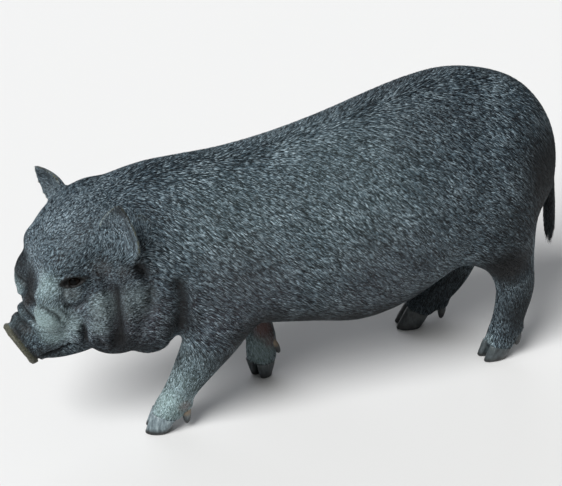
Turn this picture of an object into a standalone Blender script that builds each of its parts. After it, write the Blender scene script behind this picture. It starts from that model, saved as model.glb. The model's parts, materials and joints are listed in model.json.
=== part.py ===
"""A small black pig of a short-legged southern breed, walking with its head low: a still, life-size model.

Metres, +Z up. The pig faces -Y, its left side is +X, and all four feet rest on z = 0.
The flesh is modelled whole, smoothed and creased, and then parted with thin cuts.
Ears, tail and dewclaws stand in close sockets, and the hooves meet the feet at flat coronets.
"""
import math

import bmesh
import bpy
import numpy as np
from mathutils import Matrix, Vector

# Driving sizes of the body, in metres
WITHERS_HEIGHT = 0.395
HIP_HEIGHT = 0.453
BELLY_CLEARANCE = 0.107
CHEST_HALF_WIDTH = 0.112
BELLY_HALF_WIDTH = 0.132
GAP = 0.0003              # air between two nodes that touch
VOXEL = 0.0027            # grain of the clay
FACETS = 9700             # triangles that the flesh keeps when it is faceted

# Driving sizes of the head
HEAD_ORIGIN = Vector((0.0, -0.270, 0.300))
HEAD_PITCH = math.radians(50)
DISC_CENTRE = Vector((0.0, -0.4050, 0.1630))
DISC_PITCH = math.radians(31)
DISC_HALF_HEIGHT = 0.0355
DISC_HALF_WIDTH = 0.0335
EYE_CENTRE = Vector((0.0590, -0.3385, 0.2795))
EYE_RADIUS = 0.0102

# The trunk: distance along y, back, underside, half width, height of the widest line
TRUNK = [
    (-0.345, 0.345, 0.200, 0.050, 0.285),
    (-0.310, 0.371, 0.172, 0.078, 0.282),
    (-0.260, 0.382, 0.152, 0.095, 0.276),
    (-0.205, 0.391, 0.146, 0.105, 0.270),
    (-0.150, WITHERS_HEIGHT - 0.004, 0.142, CHEST_HALF_WIDTH, 0.265),
    (-0.080, 0.3895, 0.138, 0.122, 0.258),
    (0.000, 0.397, 0.1255, BELLY_HALF_WIDTH, 0.250),
    (0.080, 0.414, BELLY_CLEARANCE, 0.133, 0.252),
    (0.150, 0.433, 0.114, 0.130, 0.270),
    (0.210, 0.4475, 0.137, 0.123, 0.293),
    (0.265, HIP_HEIGHT, 0.162, 0.116, 0.310),
    (0.320, 0.4435, 0.180, 0.108, 0.315),
    (0.365, 0.424, 0.200, 0.094, 0.310),
    (0.395, 0.391, 0.226, 0.076, 0.304),
    (0.409, 0.350, 0.256, 0.050, 0.300),
]

# The skull in the head's own frame: distance down the face, brow side, throat side, half width, widest line
SKULL = [
    (-0.070, 0.035, -0.060, 0.064, -0.010),
    (-0.040, 0.070, -0.088, 0.075, 0.005),
    (0.000, 0.0865, -0.095, 0.078, 0.020),
    (0.033, 0.0900, -0.092, 0.075, 0.032),
    (0.060, 0.086, -0.086, 0.070, 0.036),
    (0.082, 0.073, -0.079, 0.063, 0.030),
    (0.104, 0.058, -0.070, 0.056, 0.018),
    (0.126, 0.048, -0.059, 0.049, 0.010),
    (0.148, 0.044, -0.044, 0.041, 0.006),
    (0.166, 0.038, -0.028, 0.031, 0.006),
]

# Legs: x, y, z of the middle line, half width, half depth
FORE_LEFT = [
    (0.074, -0.112, 0.265, 0.044, 0.060),
    (0.076, -0.119, 0.215, 0.043, 0.056),
    (0.073, -0.142, 0.165, 0.038, 0.047),
    (0.066, -0.163, 0.122, 0.031, 0.035),
    (0.058, -0.182, 0.084, 0.0250, 0.0265),
    (0.051, -0.195, 0.056, 0.0228, 0.0230),
    (0.0475, -0.206, 0.036, 0.0215, 0.0220),
    (0.0450, -0.214, 0.020, 0.020, 0.0205),
]
FORE_RIGHT = [
    (-0.074, -0.112, 0.265, 0.044, 0.060),
    (-0.076, -0.100, 0.212, 0.043, 0.056),
    (-0.070, -0.078, 0.165, 0.037, 0.042),
    (-0.058, -0.052, 0.125, 0.029, 0.030),
    (-0.048, -0.034, 0.090, 0.0235, 0.0255),
    (-0.040, -0.027, 0.062, 0.0225, 0.0240),
    (-0.036, -0.0275, 0.040, 0.0225, 0.0240),
    (-0.034, -0.0300, 0.022, 0.0210, 0.0200),
]
HIND_LEFT = [
    (0.072, 0.285, 0.310, 0.048, 0.085),
    (0.077, 0.290, 0.255, 0.046, 0.076),
    (0.078, 0.312, 0.205, 0.041, 0.056),
    (0.074, 0.331, 0.160, 0.031, 0.038),
    (0.072, 0.341, 0.120, 0.0258, 0.0318),
    (0.070, 0.337, 0.080, 0.0232, 0.0270),
    (0.068, 0.3305, 0.050, 0.0220, 0.0250),
    (0.067, 0.3245, 0.032, 0.0215, 0.023),
    (0.067, 0.3185, 0.018, 0.020, 0.021),
]
HIND_RIGHT = [
    (-0.072, 0.285, 0.310, 0.048, 0.085),
    (-0.077, 0.290, 0.255, 0.046, 0.076),
    (-0.078, 0.306, 0.205, 0.041, 0.056),
    (-0.074, 0.321, 0.158, 0.032, 0.040),
    (-0.072, 0.327, 0.114, 0.0265, 0.035),
    (-0.072, 0.311, 0.074, 0.0245, 0.0285),
    (-0.0715, 0.282, 0.050, 0.0225, 0.0255),
    (-0.0705, 0.264, 0.036, 0.0220, 0.0235),
    (-0.0695, 0.250, 0.024, 0.0205, 0.0210),
]

# The legs by name, and the box that parts each from the trunk: its lowest and highest corner
LEG_NAMES = ("front_left", "front_right", "hind_left", "hind_right")
LEG_ROWS = dict(zip(LEG_NAMES, (FORE_LEFT, FORE_RIGHT, HIND_LEFT, HIND_RIGHT)))
LEG_BOX = {
    "front_left": ((0.012, -0.300, 0.080), (0.150, -0.070, 0.1335)),
    "front_right": ((-0.150, -0.130, 0.080), (-0.008, 0.010, 0.1185)),
    "hind_left": ((0.004, 0.266, 0.080), (0.160, 0.420, 0.1600)),
    "hind_right": ((-0.160, 0.266, 0.080), (-0.004, 0.420, 0.1600)),
}
BELOW_BELLY = 0.096       # under this height there is nothing but legs
MIDDLE = 0.050            # parts the fore legs from the hind legs, along y

# The plane where the claws meet a foot: a point on it, and the way down through it
CORONET = {
    "front_left": ((0.0460, -0.2120, 0.0265), (-0.06, -0.30, -0.95)),
    "front_right": ((-0.0345, -0.0290, 0.0275), (0.0, -0.08, -1.0)),
    "hind_left": ((0.0670, 0.3210, 0.0240), (0.0, -0.25, -0.97)),
    "hind_right": ((-0.0700, 0.2550, 0.0270), (0.0, -0.42, -0.91)),
}
# Middle of the two soles, turn of the toes about the upright, half length and half width of one sole
SOLE = {
    "front_left": ((0.0420, -0.2250), -0.40, 0.0155, 0.0086),
    "front_right": ((-0.0320, -0.0290), -0.45, 0.0100, 0.0070),
    "hind_left": ((0.0640, 0.3130), 0.02, 0.0185, 0.0082),
    "hind_right": ((-0.0715, 0.2385), 0.34, 0.0185, 0.0086),
}
CLEFT = 0.0030            # space between the two claws of a foot

# Dewclaws: root inside the foot, tip, and how far the two stand apart at root and tip
DEWCLAW = {
    "front_left": ((0.0480, -0.1880, 0.0480), (0.0455, -0.1850, 0.0090), 0.0100, 0.0135),
    "front_right": ((-0.0380, -0.0240, 0.0680), (-0.0360, -0.0035, 0.0365), 0.0095, 0.0125),
    "hind_left": ((0.0675, 0.3440, 0.0560), (0.0670, 0.3460, 0.0210), 0.0100, 0.0130),
    "hind_right": ((-0.0710, 0.2910, 0.0400), (-0.0710, 0.2900, 0.0075), 0.0100, 0.0130),
}
DEWCLAW_RADIUS = 0.0072
DEWCLAW_ROWS = [(0.0, 0.86, 1.0), (0.35, 0.92, 1.05), (0.65, 0.82, 0.92), (0.88, 0.55, 0.62), (1.0, 0.26, 0.3)]

# Ears: root in the head, bend, tip, the way the hollow faces at root and tip
EAR = {
    "left": ((0.066, -0.279, 0.302), (0.092, -0.284, 0.340), (0.111, -0.289, 0.403),
             (0.62, -0.75, 0.05), (0.62, -0.75, 0.10), 1.22),
    "right": ((-0.056, -0.308, 0.331), (-0.092, -0.322, 0.344), (-0.132, -0.330, 0.360),
              (-0.10, -0.90, 0.20), (0.05, -0.95, 0.05), 0.88),
}
# Along the ear: how far, half width, hollow, thickness, opening of the hollow
EAR_ROWS = [
    (0.00, 0.0200, 0.000, 0.0240, 0.00),
    (0.22, 0.0230, 0.004, 0.0200, 0.35),
    (0.34, 0.0262, 0.012, 0.0080, 1.00),
    (0.48, 0.0272, 0.013, 0.0062, 1.00),
    (0.64, 0.0235, 0.011, 0.0052, 1.00),
    (0.79, 0.0168, 0.007, 0.0046, 1.00),
    (0.91, 0.0094, 0.003, 0.0042, 1.00),
    (0.98, 0.0042, 0.001, 0.0034, 1.00),
]

# The tail: x, y, z of the middle line, half width, half depth
TAIL = [
    (0.0, 0.396, 0.330, 0.0110, 0.0110),
    (0.0, 0.414, 0.325, 0.0108, 0.0108),
    (0.0, 0.4265, 0.306, 0.0100, 0.0100),
    (0.0, 0.4300, 0.275, 0.0090, 0.0090),
    (0.0, 0.4345, 0.240, 0.0085, 0.0080),
    (0.0, 0.4375, 0.205, 0.0100, 0.0085),
    (0.0, 0.4400, 0.175, 0.0095, 0.0075),
    (0.0, 0.4410, 0.158, 0.0045, 0.0040),
]


def run_through(rows, steps):
    """A smooth run of rows of numbers through the given ones, with so many steps between each two."""
    rows = np.asarray(rows, float)
    ends = np.vstack([2 * rows[0] - rows[1], rows, 2 * rows[-1] - rows[-2]])
    out = []
    for i in range(1, len(ends) - 2):
        a, b, c, d = ends[i - 1:i + 3]
        for t in np.arange(steps) / steps:
            out.append(0.5 * (2 * b + (c - a) * t + (2 * a - 5 * b + 4 * c - d) * t ** 2
                              + (3 * b - a - 3 * c + d) * t ** 3))
    out.append(rows[-1])
    return np.array(out)


def closed_from_rings(mesh, rings):
    """Adds one closed skin through a run of rings of equal count to a bmesh."""
    loops = [[mesh.verts.new(p) for p in ring] for ring in rings]
    count = len(loops[0])
    for near, far in zip(loops, loops[1:]):
        for i in range(count):
            j = (i + 1) % count
            mesh.faces.new((near[i], near[j], far[j], far[i]))
    mesh.faces.new(loops[0][::-1])
    mesh.faces.new(loops[-1])


def body_ring(along, top, bottom, half_width, widest, square, count=80):
    """One egg-shaped section across an axis: its upper and lower halves meet on the widest line."""
    ring = []
    for i in range(count):
        angle = 2 * math.pi * i / count
        c, s = math.cos(angle), math.sin(angle)
        x = half_width * math.copysign(abs(c) ** (2 / square), c)
        reach = (top - widest) if s > 0 else (widest - bottom)
        z = widest + reach * math.copysign(abs(s) ** (2 / square), s)
        ring.append(Vector((x, along, z)))
    return ring


def add_barrel(mesh, rows, place=Matrix.Identity(4), square=2.25, steps=8):
    """A long body of egg-shaped sections along its own +Y, put in place."""
    rings = [body_ring(*row, square) for row in run_through(rows, steps)]
    closed_from_rings(mesh, [[place @ p for p in ring] for ring in rings])


def limb_rings(stations, steps=4, count=24):
    """Rings round a bent line through stations of x, y, z, half width and half depth."""
    rows = run_through(stations, steps)
    along = np.gradient(rows[:, :3], axis=0)
    rings = []
    for row, direction in zip(rows, along):
        d = Vector(direction).normalized()
        across = (Vector((1, 0, 0)) - d * d.x).normalized()
        fore = across.cross(d)
        centre = Vector(row[:3])
        turns = [2 * math.pi * i / count for i in range(count)]
        rings.append([centre + across * (row[3] * math.cos(a)) + fore * (row[4] * math.sin(a)) for a in turns])
    return rings


def add_limb(mesh, stations, steps=4, count=24):
    closed_from_rings(mesh, limb_rings(stations, steps, count))


def add_lump(mesh, centre, radii, turn=(0, 0, 0), sides=(1,)):
    """An egg of flesh; sides holds -1 for its mirrored twin."""
    for side in sides:
        spot = Matrix.Translation(Vector((centre[0] * side, centre[1], centre[2])))
        tilt = Matrix.Rotation(turn[2] * side, 4, "Z") @ Matrix.Rotation(turn[1] * side, 4, "Y")
        tilt = tilt @ Matrix.Rotation(turn[0], 4, "X")
        size = Matrix.Diagonal((*radii, 1))
        bmesh.ops.create_icosphere(mesh, subdivisions=4, radius=1, matrix=spot @ tilt @ size)


HEAD_FRAME = Matrix.Translation(HEAD_ORIGIN) @ Matrix.Rotation(HEAD_PITCH, 4, "X") @ Matrix.Rotation(math.pi, 4, "Z")
BOTH = (1, -1)


def dewclaw_lines(name):
    """Root and tip of the two dewclaws of a foot."""
    root, tip, near, far = DEWCLAW[name]
    lines = []
    for side in (-1, 1):
        lines.append((Vector(root) + Vector((side * near, 0, 0)), Vector(tip) + Vector((side * far, 0, 0))))
    return lines


def clay():
    """The whole body as overlapping closed forms."""
    mesh = bmesh.new()
    add_barrel(mesh, TRUNK)
    for leg in LEG_ROWS.values():
        add_limb(mesh, leg)
    add_lump(mesh, (0.072, -0.130, 0.262), (0.049, 0.078, 0.100), sides=BOTH)        # shoulders
    add_lump(mesh, (0.060, 0.285, 0.285), (0.058, 0.100, 0.120), sides=BOTH)         # hams
    for name in LEG_NAMES:
        for root, tip in dewclaw_lines(name):
            add_lump(mesh, root.lerp(tip, 0.10), (0.0115, 0.0145, 0.0138))           # pads of the dewclaws
    add_barrel(mesh, SKULL, HEAD_FRAME, square=2.7)
    drop = Vector((0, -math.cos(DISC_PITCH), -math.sin(DISC_PITCH)))
    snout = [
        (0.0, -0.325, 0.212, 0.049, 0.050),
        (0.0, -0.350, 0.197, 0.0485, 0.0450),
        (0.0, -0.374, 0.184, 0.0430, 0.0405),
        (*(DISC_CENTRE - drop * 0.012), 0.0330, 0.0345),
        (*(DISC_CENTRE - drop * 0.003), DISC_HALF_WIDTH, DISC_HALF_HEIGHT),
        (*(DISC_CENTRE + drop * 0.003), DISC_HALF_WIDTH, DISC_HALF_HEIGHT),
    ]
    add_limb(mesh, snout)
    jaw = [
        (0.0, -0.290, 0.185, 0.050, 0.034),
        (0.0, -0.325, 0.166, 0.043, 0.028),
        (0.0, -0.352, 0.155, 0.034, 0.0195),
        (0.0, -0.376, 0.149, 0.025, 0.012),
    ]
    add_limb(mesh, jaw)
    add_lump(mesh, (0.049, -0.278, 0.220), (0.047, 0.064, 0.072), sides=BOTH)        # jowls
    add_lump(mesh, (0.048, -0.234, 0.204), (0.050, 0.054, 0.066), sides=BOTH)        # rear of the jowls
    add_lump(mesh, (0.000, -0.255, 0.205), (0.060, 0.075, 0.062))                    # dewlap
    add_lump(mesh, (0.046, -0.322, 0.215), (0.030, 0.036, 0.048), sides=BOTH)        # cheeks
    add_lump(mesh, (0.043, -0.351, 0.294), (0.024, 0.028, 0.024), sides=BOTH)        # brows
    add_lump(mesh, (0.0455, -0.368, 0.240), (0.022, 0.026, 0.044), sides=BOTH)       # sides of the face
    add_lump(mesh, (0.0575, -0.3375, 0.2795), (0.0165, 0.0185, 0.0135), sides=BOTH)  # lids
    for root, bend, tip, *_ in EAR.values():
        start = Vector(root)
        toward = (Vector(bend) - start).normalized()
        for reach, size in ((-0.006, 0.0270), (0.003, 0.0250), (0.010, 0.0225)):
            add_lump(mesh, start + toward * reach, (size, size, size))               # roots of the ears
    return mesh


def object_of(name, mesh):
    """A bmesh made into an object of its own, with its faces turned outward."""
    bmesh.ops.recalc_face_normals(mesh, faces=mesh.faces)
    data = bpy.data.meshes.new(name)
    mesh.to_mesh(data)
    mesh.free()
    obj = bpy.data.objects.new(name, data)
    bpy.context.scene.collection.objects.link(obj)
    return obj


def applied(obj):
    """The object with its modifiers made real."""
    graph = bpy.context.evaluated_depsgraph_get()
    data = bpy.data.meshes.new_from_object(obj.evaluated_get(graph))
    obj.modifiers.clear()
    old = obj.data
    obj.data = data
    bpy.data.meshes.remove(old)
    return obj


def points_of(obj):
    flat = np.empty(len(obj.data.vertices) * 3)
    obj.data.vertices.foreach_get("co", flat)
    return flat.reshape(-1, 3)


def normals_of(obj):
    flat = np.empty(len(obj.data.vertices) * 3)
    obj.data.vertices.foreach_get("normal", flat)
    return flat.reshape(-1, 3)


def set_points(obj, points):
    obj.data.vertices.foreach_set("co", points.ravel())
    obj.data.update()


def fused(obj, voxel):
    """Joins overlapping forms into one even skin."""
    remesh = obj.modifiers.new("fuse", "REMESH")
    remesh.mode = "VOXEL"
    remesh.voxel_size = voxel
    return applied(obj)


def smooth_step(value):
    value = np.clip(value, 0, 1)
    return value * value * (3 - 2 * value)


def settled(obj, passes, spots=None):
    """Smooths the skin, everywhere or only round spots of x, y, z and radius."""
    settle = obj.modifiers.new("settle", "SMOOTH")
    settle.factor = 0.5
    settle.iterations = passes
    if spots:
        points = points_of(obj)
        weight = np.zeros(len(points))
        for *centre, radius in spots:
            away = np.linalg.norm(points - np.array(centre), axis=1)
            weight = np.maximum(weight, smooth_step(1.6 * (1 - away / radius)))
        group = obj.vertex_groups.new(name="soft")
        for index in np.flatnonzero(weight > 0.02):
            group.add([int(index)], float(weight[index]), "REPLACE")
        settle.vertex_group = group.name
    applied(obj)
    obj.vertex_groups.clear()
    return obj


def away_from_line(points, path):
    """Distance of every point from a line through a few corners."""
    best = np.full(len(points), np.inf)
    for a, b in zip(path, path[1:]):
        a, b = np.array(a), np.array(b)
        run = b - a
        t = np.clip((points - a) @ run / (run @ run), 0, 1)
        best = np.minimum(best, np.linalg.norm(points - a - t[:, None] * run, axis=1))
    return best


def creased(obj, path, width, depth, sides=BOTH):
    """Sinks a soft crease of this width and depth along a line on the skin; a negative depth raises a fold."""
    points, normals = points_of(obj), normals_of(obj)
    for side in sides:
        line = [(x * side, y, z) for x, y, z in path]
        share = smooth_step(1 - away_from_line(points, line) / width)
        points = points - normals * (depth * share)[:, None]
    set_points(obj, points)


def pressed(obj, centre, radius, push, sides=BOTH):
    """Pushes a round hollow into the skin."""
    points = points_of(obj)
    for side in sides:
        away = np.linalg.norm(points - np.array((centre[0] * side, centre[1], centre[2])), axis=1)
        share = smooth_step(1.35 * (1 - away / radius))
        points = points + share[:, None] * np.array((push[0] * side, push[1], push[2]))
    set_points(obj, points)


def box_object(low, high):
    mesh = bmesh.new()
    bmesh.ops.create_cube(mesh, size=1)
    for v in mesh.verts:
        v.co = Vector([low[i] if v.co[i] < 0 else high[i] for i in range(3)])
    return object_of("region", mesh)


def sliced(obj, point, normal):
    """Keeps the flesh on the side where the normal points and closes the cut with a flat face."""
    mesh = bmesh.new()
    mesh.from_mesh(obj.data)
    everything = mesh.verts[:] + mesh.edges[:] + mesh.faces[:]
    bmesh.ops.bisect_plane(mesh, geom=everything, dist=0.000001, plane_co=point, plane_no=normal, clear_inner=True)
    rim = [edge for edge in mesh.edges if len(edge.link_faces) == 1]
    bmesh.ops.holes_fill(mesh, edges=rim, sides=0)
    bmesh.ops.triangulate(mesh, faces=[face for face in mesh.faces if len(face.verts) > 4])
    mesh.to_mesh(obj.data)
    mesh.free()
    return obj


def open_edges(obj):
    """How many edges of a mesh don't lie between exactly two faces."""
    loops = np.empty(len(obj.data.loops), int)
    obj.data.loops.foreach_get("edge_index", loops)
    return int((np.bincount(loops, minlength=len(obj.data.edges)) != 2).sum())


def combined(obj, other, operation):
    """One Boolean step between two closed skins."""
    step = obj.modifiers.new("step", "BOOLEAN")
    step.operation = operation
    step.solver = "MANIFOLD" if open_edges(obj) + open_edges(other) == 0 else "EXACT"
    step.object = other
    applied(obj)
    bpy.data.objects.remove(other)
    return obj


def copy_of(obj, name):
    twin = bpy.data.objects.new(name, obj.data.copy())
    bpy.context.scene.collection.objects.link(twin)
    return twin


def only_largest(obj):
    """Keeps the largest closed surface of a node."""
    mesh = bmesh.new()
    mesh.from_mesh(obj.data)
    bmesh.ops.remove_doubles(mesh, verts=mesh.verts, dist=0.00002)
    left = set(mesh.verts)
    groups = []
    while left:
        seed = left.pop()
        group = {seed}
        front = [seed]
        while front:
            v = front.pop()
            for edge in v.link_edges:
                w = edge.other_vert(v)
                if w in left:
                    left.remove(w)
                    group.add(w)
                    front.append(w)
        groups.append(group)
    groups.sort(key=len)
    bmesh.ops.delete(mesh, geom=[v for g in groups[:-1] for v in g], context="VERTS")
    bmesh.ops.triangulate(mesh, faces=mesh.faces)
    mesh.to_mesh(obj.data)
    mesh.free()
    return obj


def faceted(obj, triangles):
    """Reduces the dense skin to about so many triangles, most of them where it bends most."""
    mesh = bmesh.new()
    mesh.from_mesh(obj.data)
    bmesh.ops.triangulate(mesh, faces=mesh.faces)
    now = len(mesh.faces)
    mesh.to_mesh(obj.data)
    mesh.free()
    obj.modifiers.new("facet", "DECIMATE").ratio = min(1.0, triangles / now)
    return applied(obj)


def grown(obj, by):
    """A copy of a closed skin moved out along its normals."""
    twin = copy_of(obj, "cavity")
    set_points(twin, points_of(twin) + normals_of(twin) * by)
    return twin


# The three planes across head, neck and trunk: a point of each and the way to the front
HEAD_CUT = ((0, -0.253, 0.260), (0, -0.960, -0.280))
NECK_CUT = ((0, -0.199, 0.265), (0, -0.9998, -0.020))


def split(flesh, name, cuts):
    """One node: the flesh on the named sides of some cut planes, each held back by half a gap."""
    node = copy_of(flesh, name)
    for (point, normal), side in cuts:
        normal = Vector(normal).normalized() * side
        sliced(node, Vector(point) + normal * (GAP / 2), normal)
    return only_largest(node)


def leg_block(name, top_shift):
    """The room of one leg: its quarter of the floor below the belly, and a box up to its top."""
    low, high = LEG_BOX[name]
    block = box_object(low, (high[0], high[1], high[2] + top_shift))
    start, end = (-0.5, MIDDLE) if "front" in name else (MIDDLE, 0.5)
    left, right = (0.0, 0.3) if "left" in name else (-0.3, 0.0)
    return combined(block, box_object((left, start, -0.05), (right, end, BELOW_BELLY)), "UNION")


def claw_pair(name):
    """The two main claws of a foot, from the coronet plane down to flat soles."""
    (cx, cy, cz), normal = CORONET[name]
    (sx, sy), turn, half_length, half_width = SOLE[name]
    down = Vector(normal).normalized()
    toe = Vector((math.sin(turn) * (1 if cx > 0 else -1), -math.cos(turn), 0))
    across = Vector((0, 0, 1)).cross(toe)
    top_toe = (toe - down * toe.dot(down)).normalized()
    top_across = down.cross(top_toe)
    if top_across.dot(across) < 0:
        top_across.negate()
    nodes = []
    for side, label in ((-1, "a"), (1, "b")):
        rings = []
        for t in (0.0, 0.12, 0.4, 0.7, 0.93, 1.0):
            wide = (0.0094, half_width)
            long = (0.0180, half_length)
            swell = 1.0 + 0.07 * math.sin(math.pi * min(t, 0.9) / 0.9)
            edge = 0.90 if t == 1.0 else 1.0
            w = (wide[0] + (wide[1] - wide[0]) * t) * swell * edge
            l = (long[0] + (long[1] - long[0]) * t) * edge
            low = Vector((sx, sy, 0.0))
            high = Vector((cx, cy, cz)) + down * GAP
            offset = CLEFT / 2 + (wide[0] + (wide[1] - wide[0]) * t) * 1.0
            middle = high.lerp(low, t)
            a = top_across.lerp(across, t).normalized()
            f = top_toe.lerp(toe, t).normalized()
            ring = []
            for i in range(14):
                angle = 2 * math.pi * i / 14
                c, s = math.cos(angle), math.sin(angle)
                point_out = l * s * (1.12 if s > 0 else 0.92)
                narrow = 1.0 - 0.22 * max(s, 0) ** 2
                inward = w * (abs(c) ** 0.75) * math.copysign(1, c) * narrow
                if c * side < 0:
                    inward = math.copysign(min(abs(inward), w * 0.96), c)
                ring.append(middle + a * (side * offset + inward) + f * point_out)
            if t == 1.0:
                for p in ring:
                    p.z = 0.0
            rings.append(ring)
        mesh = bmesh.new()
        closed_from_rings(mesh, rings)
        nodes.append(only_largest(object_of(f"claw_{name}_{label}", mesh)))
    return nodes


def dewclaw(name, index):
    """One dewclaw: a short blunt horn, curved a little forward."""
    root, tip = dewclaw_lines(name)[index]
    r = DEWCLAW_RADIUS
    rows = []
    for t, wide, deep in DEWCLAW_ROWS:
        p = root.lerp(tip, t)
        rows.append((p.x, p.y + 0.0015 * math.sin(math.pi * t), p.z, r * wide, r * deep))
    mesh = bmesh.new()
    add_limb(mesh, rows, steps=1, count=10)
    return only_largest(object_of(f"dewclaw_{name}_{'ab'[index]}", mesh))


def ear(side):
    """One ear: a solid root that opens into a cupped leaf with a rounded tip."""
    root, bend, tip, face_root, face_tip = (Vector(v) for v in EAR[side][:5])
    breadth = EAR[side][5]
    count = 9
    rings = []
    for t, half, hollow, thick, open_share in run_through(EAR_ROWS, 2):
        middle = root * (1 - t) ** 2 + bend * (2 * t * (1 - t)) + tip * t ** 2
        ahead = ((bend - root) * (1 - t) + (tip - bend) * t).normalized()
        face = face_root.lerp(face_tip, t)
        face = (face - ahead * face.dot(ahead)).normalized()
        across = ahead.cross(face)
        back, front = [], []
        half *= breadth
        for i in range(count):
            a = -1 + 2 * i / (count - 1)
            bow = hollow * (1 - a * a)
            rim = thick / 2 * (1 - 0.35 * a * a)
            if open_share < 0.99:
                rim = thick / 2 * math.sqrt(1 - (0.93 * a) ** 2)
            back.append(middle + across * (half * a) - face * (bow + rim))
            front.append(middle + across * (half * a * 0.97) - face * (bow - rim))
        rings.append(back + front[::-1])
    mesh = bmesh.new()
    closed_from_rings(mesh, rings)
    bmesh.ops.triangulate(mesh, faces=mesh.faces)
    return only_largest(object_of("ear_" + side, mesh))


def tail():
    mesh = bmesh.new()
    add_limb(mesh, TAIL, steps=2, count=12)
    return only_largest(object_of("tail", mesh))


def eye(side):
    """One eyeball."""
    mesh = bmesh.new()
    centre = Vector((EYE_CENTRE.x * side, EYE_CENTRE.y, EYE_CENTRE.z))
    bmesh.ops.create_icosphere(mesh, subdivisions=2, radius=EYE_RADIUS, matrix=Matrix.Translation(centre))
    return object_of("eye_left" if side > 0 else "eye_right", mesh)


def socketed(node, piece):
    """Clears a close socket for a piece in the flesh of a node."""
    combined(node, grown(piece, GAP * 1.3), "DIFFERENCE")
    return only_largest(node)


def lid_opening(side):
    """The almond between the lids, as a short bar that looks outward from the eye."""
    mesh = bmesh.new()
    outward = Vector((0.86 * side, -0.50, 0.0)).normalized()
    along = Vector((0, 0, 1)).cross(outward).normalized()
    centre = Vector((EYE_CENTRE.x * side, EYE_CENTRE.y, EYE_CENTRE.z))
    rings = []
    for reach in (0.002, 0.022):
        ring = []
        for i in range(16):
            angle = 2 * math.pi * i / 16
            flat = math.sin(angle) * (0.0042 - 0.0008 * math.cos(2 * angle))
            ring.append(centre + outward * reach + along * (0.0088 * math.cos(angle)) + Vector((0, 0, flat)))
        rings.append(ring)
    closed_from_rings(mesh, rings)
    return object_of("opening", mesh)


MATERIALS = {
    "skin": ((0.035, 0.042, 0.050), 0.62),
    "eye": ((0.012, 0.009, 0.008), 0.12),
    "horn": ((0.045, 0.050, 0.055), 0.45),
}


def painted(obj):
    """Gives a node a plain material of its own and smooth shading."""
    kind = "eye" if obj.name.startswith("eye") else "horn" if "claw" in obj.name else "skin"
    colour, rough = MATERIALS[kind]
    material = bpy.data.materials.new(f"{obj.name}_{kind}")
    material.use_nodes = True
    shader = material.node_tree.nodes["Principled BSDF"]
    shader.inputs["Base Color"].default_value = (*colour, 1)
    shader.inputs["Roughness"].default_value = rough
    shader.inputs["Metallic"].default_value = 0.0
    obj.data.materials.clear()
    obj.data.materials.append(material)
    obj.data.polygons.foreach_set("use_smooth", [True] * len(obj.data.polygons))


def centred(objects):
    """Moves everything so that the origin lies under the middle of the whole, on the floor."""
    low = np.min([points_of(o).min(axis=0) for o in objects], axis=0)
    high = np.max([points_of(o).max(axis=0) for o in objects], axis=0)
    shift = np.array([-(low[0] + high[0]) / 2, -(low[1] + high[1]) / 2, -low[2]])
    for obj in objects:
        set_points(obj, points_of(obj) + shift)


def clear_scene():
    for obj in list(bpy.data.objects):
        bpy.data.objects.remove(obj)


# Soft places where forms run into each other: x, y, z, radius, passes of smoothing
SOFT = [
    (0.098, -0.110, 0.245, 0.140, 240),
    (0.090, 0.285, 0.250, 0.170, 240),
    (0.000, 0.400, 0.300, 0.110, 60),
    (0.072, -0.296, 0.336, 0.056, 90),
    (0.046, -0.356, 0.276, 0.052, 60),
]

# Creases of the skin, left side: line, half width, depth
CREASES = [
    ([(0.078, -0.300, 0.290), (0.085, -0.300, 0.253), (0.090, -0.298, 0.220), (0.085, -0.294, 0.188),
      (0.070, -0.290, 0.168)], 0.016, 0.0070),
    ([(0.100, -0.205, 0.250), (0.098, -0.206, 0.215), (0.092, -0.206, 0.185), (0.075, -0.203, 0.150)],
     0.020, 0.0060),
    ([(0.096, -0.246, 0.250), (0.092, -0.245, 0.200), (0.080, -0.243, 0.165)], 0.018, 0.0022),
    ([(0.076, -0.328, 0.216), (0.068, -0.333, 0.190), (0.056, -0.331, 0.170)], 0.010, 0.0035),
    ([(0.000, -0.392, 0.147), (0.024, -0.388, 0.150), (0.037, -0.366, 0.157), (0.047, -0.345, 0.166),
      (0.058, -0.332, 0.177)], 0.008, 0.0040),
    ([(0.000, -0.402, 0.212), (0.020, -0.400, 0.207), (0.034, -0.388, 0.197)], 0.008, 0.0022),
    ([(0.000, -0.393, 0.228), (0.025, -0.389, 0.220), (0.040, -0.375, 0.203), (0.043, -0.367, 0.188)],
     0.009, 0.0022),
    ([(0.030, -0.384, 0.238), (0.049, -0.366, 0.222), (0.054, -0.350, 0.200)], 0.010, 0.0025),
]
NOSTRIL = (0.0125, -0.4135, 0.1645)


def sculpted():
    """The whole body as one dense skin with its creases, nostrils and soft transitions."""
    body = fused(object_of("flesh", clay()), VOXEL)
    for x, y, z, radius, passes in SOFT:
        settled(body, passes, [(x, y, z, radius), (-x, y, z, radius)])
    settled(body, 26)
    for line, width, depth in CREASES:
        creased(body, line, width, depth)
    inward = Vector((0, math.cos(DISC_PITCH), math.sin(DISC_PITCH))) * 0.010
    pressed(body, NOSTRIL, 0.0078, inward)
    return settled(body, 2)


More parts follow.
